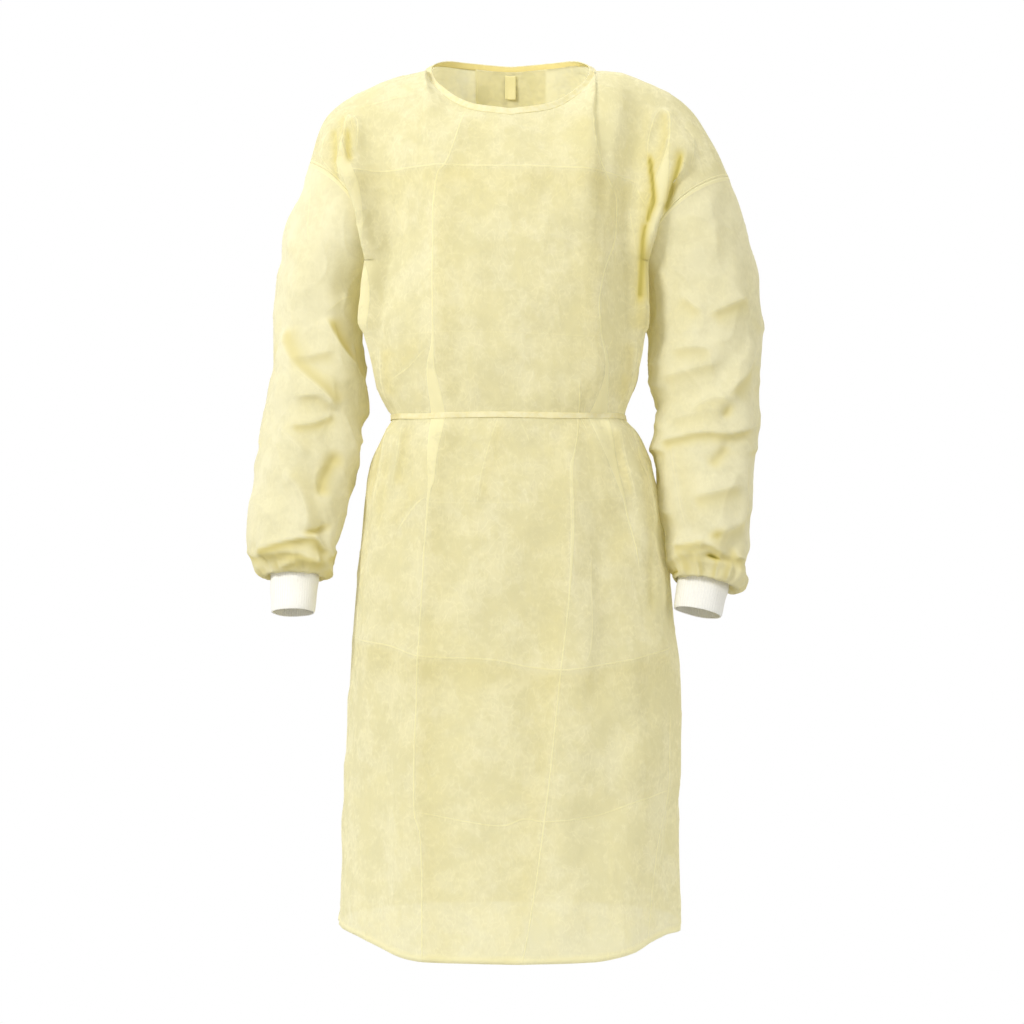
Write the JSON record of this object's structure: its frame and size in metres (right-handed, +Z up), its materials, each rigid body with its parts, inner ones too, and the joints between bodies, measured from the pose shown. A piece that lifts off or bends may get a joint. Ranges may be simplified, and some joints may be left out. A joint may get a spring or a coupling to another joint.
{
  "type": "isolation gown",
  "caption": "Long-sleeved isolation gown of thin yellow nonwoven cloth, hollow as worn, with a round bound neck, knitted cuffs, a tape belt and lapped backs tied behind.",
  "frame": {"origin": "the middle of the neck opening, level with the points where the shoulders meet the neck: where the wearer's neck and shoulders hold the gown up", "axes": "+Z up along the worn gown, -Y out of its front, +X to the wearer's left"},
  "size_m": [0.6496, 0.3485, 1.1261],
  "materials": {
    "nonwoven": "thin, matt, cloudy and see-through spunbond nonwoven in pale yellow",
    "tape": "folded nonwoven tape in a deeper yellow",
    "knit": "soft off-white knit, finely ribbed",
    "label": "blank nonwoven label"
  },
  "bodies": {
    "root": {"front": "nonwoven", "back_right": "nonwoven", "back_left": "nonwoven", "sleeve_right": "nonwoven", "sleeve_left": "nonwoven", "cuff_right": "knit", "cuff_left": "knit", "neck_binding": "tape", "neck_tie": "tape", "neck_knot": "tape", "neck_label": "label", "belt": "tape", "belt_tie": "tape", "belt_knot": "tape"}
  },
  "joints": []
}
